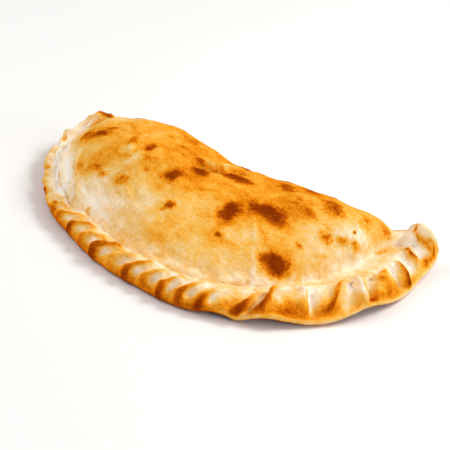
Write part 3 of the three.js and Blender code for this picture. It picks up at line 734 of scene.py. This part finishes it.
def dome_tone(points, theta):
    """How browned the dome is, from 0, floury, to 1, brown."""
    x, y = points[..., 0], points[..., 1]
    share = rise_share(x, y)
    tone = DOME_TONE + soft_patches(x, y, TONES)
    # The front slope stays paler the nearer it is to the crimp.
    front = between(theta, 30, 60, 100, 125)
    tone = tone - 0.16 * front * (1 - smooth(0.1, 0.62, share))
    # The foot of the dome is pale, in a narrow band on the right, and the back is browner than the rest.
    right = smooth(135, 155, theta)
    foot = 1 - smooth(0.0, mix(0.16, 0.04, right), share)
    back = 1 - back_share(x, y)
    tone = tone - foot_paleness(theta) * foot * (1 - smooth(0.6, 0.9, back)) + 0.08 * smooth(0.5, 1, back)
    # On the right, a darker band just above the pale foot: partly browning, partly painted shade under the
    # dome's overhanging foot.
    tone = tone + 0.06 * right * between(share, 0.02, 0.06, 0.08, 0.3)
    # The crease is drawn as a dark line of painted shade, with a pale lip beside it.
    d, along = crease_distance(x, y)
    line = 0.22 * np.exp(-((d + 0.6) / 1.1) ** 2)
    lip = 0.16 * np.exp(-((d - 3.4) / 2.0) ** 2)
    tone = tone + between(along, 0.15, 0.35, 0.9, 1.0) * (line - lip)
    tone = tone - 0.16 * seam_share(points)
    # Painted light and shade: the slack skin's wrinkles are darker in their hollows and paler on their tops.
    return tone - 0.08 * slack_skin(points, theta) * wrinkle_field(points, theta) - skin_fold_tone_and_shade(points)


def rope_tone(theta, w):
    """The rope crimp: browned low down and on its strands, pale in the dents and on the slack left rim; under
    the lip its dark is partly painted shade.
    """
    slack = 1 - smooth(36, 45, theta)
    strands = np.minimum(rope_wave(theta, w), 1) ** 3 - 0.4
    tone = rope_section(w) + rope_swing(w) * (1 - slack) * strands - 0.26 * finger_dents(theta, w)
    return tone - 0.32 * slack * smooth(-0.3, 0.1, w)


def apron_tone(theta, w):
    """The wide crimp on the right, with its folds and grooves."""
    tone = apron_section(w)
    for fold in FOLDS + GROOVES:
        tone = tone + fold[7] * along_fold(fold, theta, w) ** 1.3
    return tone


def crimp_tone(theta, w):
    tone = mix(rope_tone(theta, w), apron_tone(theta, w), smooth(99, 106, theta))
    for angle, step, wide, tall, change in RIM_TONES:
        tone = tone + change * np.exp(-((theta - angle) / wide) ** 2 - ((w - step) / tall) ** 2)
    return tone


def tone_fields(points, theta, w, folded):
    """How browned the crust is, from 0, floury, to 1, brown."""
    on_dome = np.maximum(smooth(1.55, 2.15, w), folded)
    tone = mix(crimp_tone(theta, w), dome_tone(points, theta), on_dome)
    # Painted shade: the valley is browner in the hollows between its lumps.
    return tone + 0.1 * valley_share(points, theta, w) * smooth(0.1, 0.9, -valley_lumps(points))


def tip_tone(points, w):
    return soft_patches(points[..., 0], points[..., 1], TIP_TONES) * smooth(0.2, 0.6, w)


# ---------------------------------------------------------------- fine relief

def kneaded_dough(points, theta, w):
    """Lumps and dents that fingers leave in the crimp and squeeze up behind it."""
    crimp = (1 - smooth(1.5, 2.0, w)) * smooth(-0.3, 0.1, w)
    relief = crimp * (0.9 * lattice(points, 6.0, 26) + 0.5 * lattice(points, 2.8, 27))
    relief = relief + valley_share(points, theta, w) * valley_lumps(points)
    behind_rope = mix(0.5 * smooth(50, 58, theta), 1, smooth(80, 86, theta)) * (1 - smooth(100, 106, theta))
    relief = relief + behind_rope * between(w, 0.85, 1.1, 1.6, 1.95) * 1.8 * lattice(points, 3.8, 30)
    left_rim = between(theta, -12, -6, 36, 44) * between(w, -0.4, 0.0, 0.9, 1.6)
    return relief + left_rim * 1.3 * lattice(points * (1, 1, 0.4), 4.2, 32)


def back_swell(points, folded):
    """The folded back isn't quite even: it swells and sinks between the places where the filling pushes."""
    x, y = points[..., 0], points[..., 1]
    near_fold = smooth(60, 30, np.abs(fold_line(x) - y))
    share = near_fold * (0.5 + 0.5 * smooth(0.2, 1, back_share(x, y) * 4 + folded))
    return share * (1.3 * lattice(points * (1, 1, 0.5), 34.0, 40) + 0.6 * lattice(points, 15.0, 41) - 0.7)


def fine_relief(points, theta, w, folded, rise, tone):
    """Small swellings of the skin, in millimetres along the normal."""
    x, y = points[..., 0], points[..., 1]
    above_floor = smooth(3.0, 9.0, points[..., 2])
    skin = 0.45 * lattice(points, 11.0, 21) + 0.3 * lattice(points, 4.6, 22) + 0.13 * lattice(points, 2.1, 23)
    wrinkles = 1.7 * slack_skin(points, theta) * wrinkle_field(points, theta) * smooth(0.9, 1.6, w)
    worked = (1 - folded) * (wrinkles + kneaded_dough(points, theta, w))
    drawn = skin_folds(points) * smooth(0.9, 1.3, w)
    d, along = crease_distance(x, y)
    nick = -1.5 * np.exp(-((d + 0.2) ** 2) / 1.2) * between(along, 0.05, 0.3, 0.6, 0.85)
    seam = 0.4 * seam_share(points) * smooth(1.9, 2.2, w)
    floury = smooth(0.4, 0.1, tone) * 0.14 * lattice(points, 1.7, 28)
    return above_floor * (skin + worked + drawn + back_swell(points, folded) + nick + seam + rise + floury)


# ---------------------------------------------------------------- mesh

def band(a, b):
    """Faces between two rings of as many points."""
    a1, b1 = np.roll(a, -1), np.roll(b, -1)
    return np.stack([a, a1, b1, b], 1).tolist()


def halve(a, b):
    """Faces between a ring and one inside it with half as many points."""
    a0, a1, a2 = a[0::2], a[1::2], np.roll(a, -1)[1::2]
    b1 = np.roll(b, -1)
    return np.concatenate([
        np.stack([a0, a1, b], 1), np.stack([a1, b1, b], 1), np.stack([a1, a2, b1], 1),
    ]).tolist()


def build_form():
    """Points in millimetres, faces, and each point's rim angle and section step."""
    stations = outline()
    steps = np.concatenate([
        np.linspace(-1, -0.5, SOLE_STEPS + 1)[:-1], np.linspace(-0.5, 0, TUCK_STEPS + 1)[:-1],
        np.linspace(0, 1, FACE_STEPS + 1)[:-1], np.linspace(1, 2, SLOPE_STEPS + 1),
    ])
    edge = edge_points(stations, steps)
    count = len(stations)
    points = [edge.reshape(-1, 3)]
    theta = [np.tile(stations[:, 0], len(steps))]
    step = [np.repeat(steps, count)]
    folded = [np.tile(stations[:, 5], len(steps))]
    rings = [np.arange(count) + count * i for i in range(len(steps))]
    total = count * len(steps)
    faces = []
    for a, b in zip(rings, rings[1:]):
        faces += band(a, b)

    def add_ring(x, y, z, w):
        nonlocal total
        points.append(np.stack([x, y, z], 1))
        theta.append(rim_angle(x, y))
        step.append(np.full(len(x), w))
        folded.append(np.zeros(len(x)))
        total += len(x)
        return np.arange(total - len(x), total)

    # The dome's rings close in on the crown, and halve twice on the way.
    inner = edge[-1]
    previous = rings[-1]
    share = 1
    for r in range(1, DOME_RINGS + 1):
        t = (r / (DOME_RINGS + 1)) ** 1.25
        halving = r in (1, DOME_RINGS // 2)
        share = share * 2 if halving else share
        x = mix(inner[::share, 0], CROWN[0], t)
        y = mix(inner[::share, 1], CROWN[1], t)
        ring = add_ring(x, y, roof_height(x, y), 2 + t)
        faces += halve(previous, ring) if halving else band(previous, ring)
        previous = ring
    x, y = np.array([CROWN[0]]), np.array([CROWN[1]])
    crown = add_ring(x, y, roof_height(x, y), 3.0)[0]
    faces += [[a, b, crown] for a, b in zip(previous, np.roll(previous, -1))]

    # The flat underside is one face inside the first ring.
    faces.append(rings[0][::-1].tolist())
    return tuple(np.concatenate(part) for part in (points, theta, step, folded)) + (faces,)


def point_normals(mesh):
    values = np.empty(len(mesh.vertices) * 3, np.float32)
    mesh.vertex_normals.foreach_get("vector", values)
    return values.reshape(-1, 3).astype(float)


def write_points(mesh, points):
    mesh.vertices.foreach_set("co", ((points + SHIFT) * MM).astype(np.float32).ravel())
    mesh.update()


def add_field(mesh, name, values):
    field = mesh.attributes.new(name, "FLOAT", "POINT")
    field.data.foreach_set("value", values.astype(np.float32))


def build_calzone(material):
    points, theta, w, folded, faces = build_form()
    mesh = bpy.data.meshes.new("calzone_crust")
    mesh.from_pydata(((points + SHIFT) * MM).tolist(), [], faces)
    mesh.update()
    burnt, rise = scorch_fields(points)
    dome = smooth(1.5, 2.1, w)
    burnt, rise = burnt * dome, rise * dome
    tone = tone_fields(points, theta, w, folded)
    # The folded back is baked a little unevenly.
    back_tone = 0.6 + 0.12 * lattice(points, 24.0, 31)
    tone = mix(tone, back_tone, folded * (1 - dome)) + tip_tone(points, w)
    relief = fine_relief(points, theta, w, folded, rise, tone)
    points = points + point_normals(mesh) * relief[:, None]
    low, high = (np.array(corner) / MM - SHIFT for corner in CAD_BOX)
    points = np.clip(points, low, high)
    write_points(mesh, points)
    add_field(mesh, "tone", tone)
    add_field(mesh, "burnt", burnt)
    add_field(mesh, "under", 1 - smooth(-0.95, -0.65, w))
    mesh.polygons.foreach_set("use_smooth", np.ones(len(mesh.polygons), bool))
    mesh.materials.append(material)
    crust = bpy.data.objects.new("calzone_crust", mesh)
    bpy.context.scene.collection.objects.link(crust)
    return crust


# ---------------------------------------------------------------- baked crust, in nodes

def colour(red, green, blue):
    """A colour given as on a screen, 0 to 255, in the light-linear values that shaders take."""
    def linear(v):
        v /= 255
        return v / 12.92 if v <= 0.04045 else ((v + 0.055) / 1.055) ** 2.4
    return (linear(red), linear(green), linear(blue), 1.0)


def put(tree, kind, inputs=None, **settings):
    """Adds a node, sets its options, and gives its inputs values or links."""
    node = tree.nodes.new(kind)
    for key, value in settings.items():
        setattr(node, key, value)
    for key, value in (inputs or {}).items():
        if isinstance(value, bpy.types.NodeSocket):
            tree.links.new(value, node.inputs[key])
        else:
            node.inputs[key].default_value = value
    return node


def maths(tree, operation, *values):
    """A sum worked out in a node, on numbers or sockets."""
    return put(tree, "ShaderNodeMath", dict(enumerate(values)), operation=operation).outputs[0]


def grain(tree, where, scale, detail=3.0, roughness=0.55):
    """Noise about zero, between roughly -0.5 and 0.5, with scale bumps to the metre."""
    noise = put(tree, "ShaderNodeTexNoise", {
        "Vector": where, "Scale": scale, "Detail": detail, "Roughness": roughness,
    })
    return maths(tree, "SUBTRACT", noise.outputs["Fac"], 0.5)


def ramp(tree, factor, shades):
    """Colours along a scale from 0 to 1, from a table of steps and colours as on a screen."""
    node = put(tree, "ShaderNodeValToRGB", {"Fac": factor})
    node.color_ramp.interpolation = "LINEAR"
    elements = node.color_ramp.elements
    while len(elements) < len(shades):
        elements.new(0.5)
    for element, (step, shade) in zip(elements, shades):
        element.position = step
        element.color = colour(*shade)
    return node.outputs["Color"]


def blend(tree, share, first, second):
    """The first colour where share is 0, and the second where it is 1."""
    node = tree.nodes.new("ShaderNodeMix")
    node.data_type = "RGBA"
    node.clamp_factor = True
    sockets = [s for s in node.inputs if s.type == "RGBA"]
    factor = node.inputs[0]
    for socket, value in ((factor, share), (sockets[0], first), (sockets[1], second)):
        if isinstance(value, bpy.types.NodeSocket):
            tree.links.new(value, socket)
        else:
            socket.default_value = value
    return next(s for s in node.outputs if s.type == "RGBA")


# Grain of the crust, in bumps to the metre: wide patches, mottling, specks and flour.
BROAD_GRAIN = 34.0
MOTTLE_GRAIN = 120.0
SPECKLE_GRAIN = 480.0
DUST_GRAIN = 1500.0

# The browning that a scorched blister reaches, the most there is, and the colour of each step up to it.
SCORCHED = 1.21
BAKED_MOST = 1.5
BAKED_SHADES = (
    (0.0, (253, 243, 228)), (0.15, (251, 228, 192)), (0.3, (243, 204, 141)), (0.45, (241, 186, 90)),
    (0.6, (239, 160, 42)), (0.75, (224, 128, 14)), (0.9, (190, 92, 6)), (1.08, (148, 60, 5)),
    (1.28, (120, 41, 4)), (1.5, (96, 30, 4)),
)
FLOUR_SHADE = (251, 243, 232)
UNDERSIDE_SHADES = (
    (0.0, (240, 204, 150)), (0.3, (222, 158, 84)), (0.55, (176, 100, 34)), (0.8, (120, 58, 16)),
    (1.0, (70, 30, 8)),
)


def baked_crust():
    material = bpy.data.materials.new("baked_crust")
    material.use_nodes = True
    tree = material.node_tree
    tree.nodes.clear()
    place = put(tree, "ShaderNodeTexCoord").outputs["Object"]
    tone = put(tree, "ShaderNodeAttribute", attribute_name="tone").outputs["Fac"]
    burnt = put(tree, "ShaderNodeAttribute", attribute_name="burnt").outputs["Fac"]
    under = put(tree, "ShaderNodeAttribute", attribute_name="under").outputs["Fac"]

    broad = grain(tree, place, BROAD_GRAIN)
    mottle = grain(tree, place, MOTTLE_GRAIN, 5.0, 0.62)
    speckle = grain(tree, place, SPECKLE_GRAIN, 3.0, 0.6)
    dust = grain(tree, place, DUST_GRAIN, 2.0, 0.6)

    # One scale of baking runs from floury dough through gold and brown to a scorched blister.
    baked = maths(tree, "MULTIPLY_ADD", broad, 0.3, tone)
    baked = maths(tree, "MULTIPLY_ADD", mottle, 0.54, baked)
    baked = maths(tree, "MULTIPLY_ADD", speckle, 0.3, baked)
    # A scorch's edge breaks up into specks: the noise counts most where it is half burnt.
    edge = maths(tree, "MULTIPLY", burnt, maths(tree, "SUBTRACT", 1.0, burnt))
    ragged = maths(tree, "MULTIPLY_ADD", mottle, 2.4, maths(tree, "MULTIPLY", speckle, 1.4))
    scorched = maths(tree, "MULTIPLY_ADD", mottle, 0.3, maths(tree, "MULTIPLY_ADD", speckle, 0.36, SCORCHED))
    share = maths(tree, "MULTIPLY_ADD", edge, ragged, burnt)
    baked = maths(tree, "MULTIPLY_ADD", share, maths(tree, "SUBTRACT", scorched, baked), baked)
    crust = ramp(tree, maths(tree, "DIVIDE", baked, BAKED_MOST), [
        (step / BAKED_MOST, shade) for step, shade in BAKED_SHADES
    ])

    # Flour left on the paler skin.
    pale = put(tree, "ShaderNodeMapRange", {
        "Value": baked, "From Min": 0.4, "From Max": 0.1,
    }, interpolation_type="SMOOTHSTEP")
    floury = put(tree, "ShaderNodeMapRange", {
        "Value": maths(tree, "ADD", speckle, dust), "From Min": 0.02, "From Max": 0.2,
    })
    floured = maths(tree, "MULTIPLY", maths(tree, "MULTIPLY", pale.outputs[0], floury.outputs[0]), 0.5)
    crust = blend(tree, floured, crust, colour(*FLOUR_SHADE))

    # The underside, baked on the oven's floor.
    base_tone = maths(tree, "MULTIPLY_ADD", mottle, 1.1, maths(tree, "MULTIPLY_ADD", broad, 1.3, 0.5))
    crust = blend(tree, under, crust, ramp(tree, base_tone, UNDERSIDE_SHADES))

    # Roughness, and the crust's finest grain.
    matt = maths(tree, "MULTIPLY_ADD", speckle, 0.3, maths(tree, "MULTIPLY_ADD", pale.outputs[0], 0.22, 0.5))
    height = maths(tree, "MULTIPLY_ADD", speckle, 0.6, maths(tree, "MULTIPLY", dust, 0.3))
    height = maths(tree, "ADD", height, maths(tree, "MULTIPLY", mottle, 0.9))
    bump = put(tree, "ShaderNodeBump", {"Strength": 0.5, "Distance": 0.0007, "Height": height})
    shader = put(tree, "ShaderNodeBsdfPrincipled", {
        "Base Color": crust, "Roughness": matt, "Normal": bump.outputs[0], "Specular IOR Level": 0.0,
    })
    put(tree, "ShaderNodeOutputMaterial", {"Surface": shader.outputs[0]})
    return material


# ---------------------------------------------------------------- studio

FLOOR_HALF = 3.0
FLOOR_DROP = 0.0002
FLOOR_COLOUR = (0.9, 0.895, 0.885, 1.0)
SKY_STRENGTH = 0.38
WHITE = (1.0, 1.0, 1.0)

# Soft boxes: place and size in metres, power in watts, and tint.
SOFT_BOXES = (
    ("key", (0.75, 0.75, 1.15), (0.7, 0.55), 16.5, (1.0, 0.985, 0.96)),
    ("fill", (-1.2, -0.6, 1.0), (1.2, 0.9), 12.0, WHITE),
    ("side", (1.3, -0.5, 0.8), (1.0, 0.8), 5.5, WHITE),
)


def make_floor():
    material = bpy.data.materials.new("pale_floor")
    material.use_nodes = True
    shader = material.node_tree.nodes["Principled BSDF"]
    shader.inputs["Base Color"].default_value = FLOOR_COLOUR
    shader.inputs["Roughness"].default_value = 0.6
    corners = [(-1, -1), (1, -1), (1, 1), (-1, 1)]
    mesh = bpy.data.meshes.new("floor")
    mesh.from_pydata([(x * FLOOR_HALF, y * FLOOR_HALF, 0) for x, y in corners], [], [(0, 1, 2, 3)])
    mesh.materials.append(material)
    floor = bpy.data.objects.new("floor", mesh)
    floor.location.z = -FLOOR_DROP
    bpy.context.scene.collection.objects.link(floor)


def make_soft_box(name, place, size, power, tint):
    """A rectangular light that faces the middle of the floor."""
    data = bpy.data.lights.new(name, "AREA")
    data.shape = "RECTANGLE"
    data.size, data.size_y = size
    data.energy = power
    data.color = tint
    light = bpy.data.objects.new(name, data)
    light.location = place
    light.rotation_mode = "QUATERNION"
    light.rotation_quaternion = Vector(place).to_track_quat("Z", "Y")
    bpy.context.scene.collection.objects.link(light)


def make_studio():
    make_floor()
    for soft_box in SOFT_BOXES:
        make_soft_box(*soft_box)
    world = bpy.data.worlds.new("studio")
    world.use_nodes = True
    sky = world.node_tree.nodes["Background"]
    sky.inputs["Color"].default_value = (*WHITE, 1.0)
    sky.inputs["Strength"].default_value = SKY_STRENGTH
    bpy.context.scene.world = world
    bpy.context.scene.view_settings.view_transform = "Standard"


make_studio()
calzone = build_calzone(baked_crust())
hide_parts("calzone")
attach(calzone, "root")
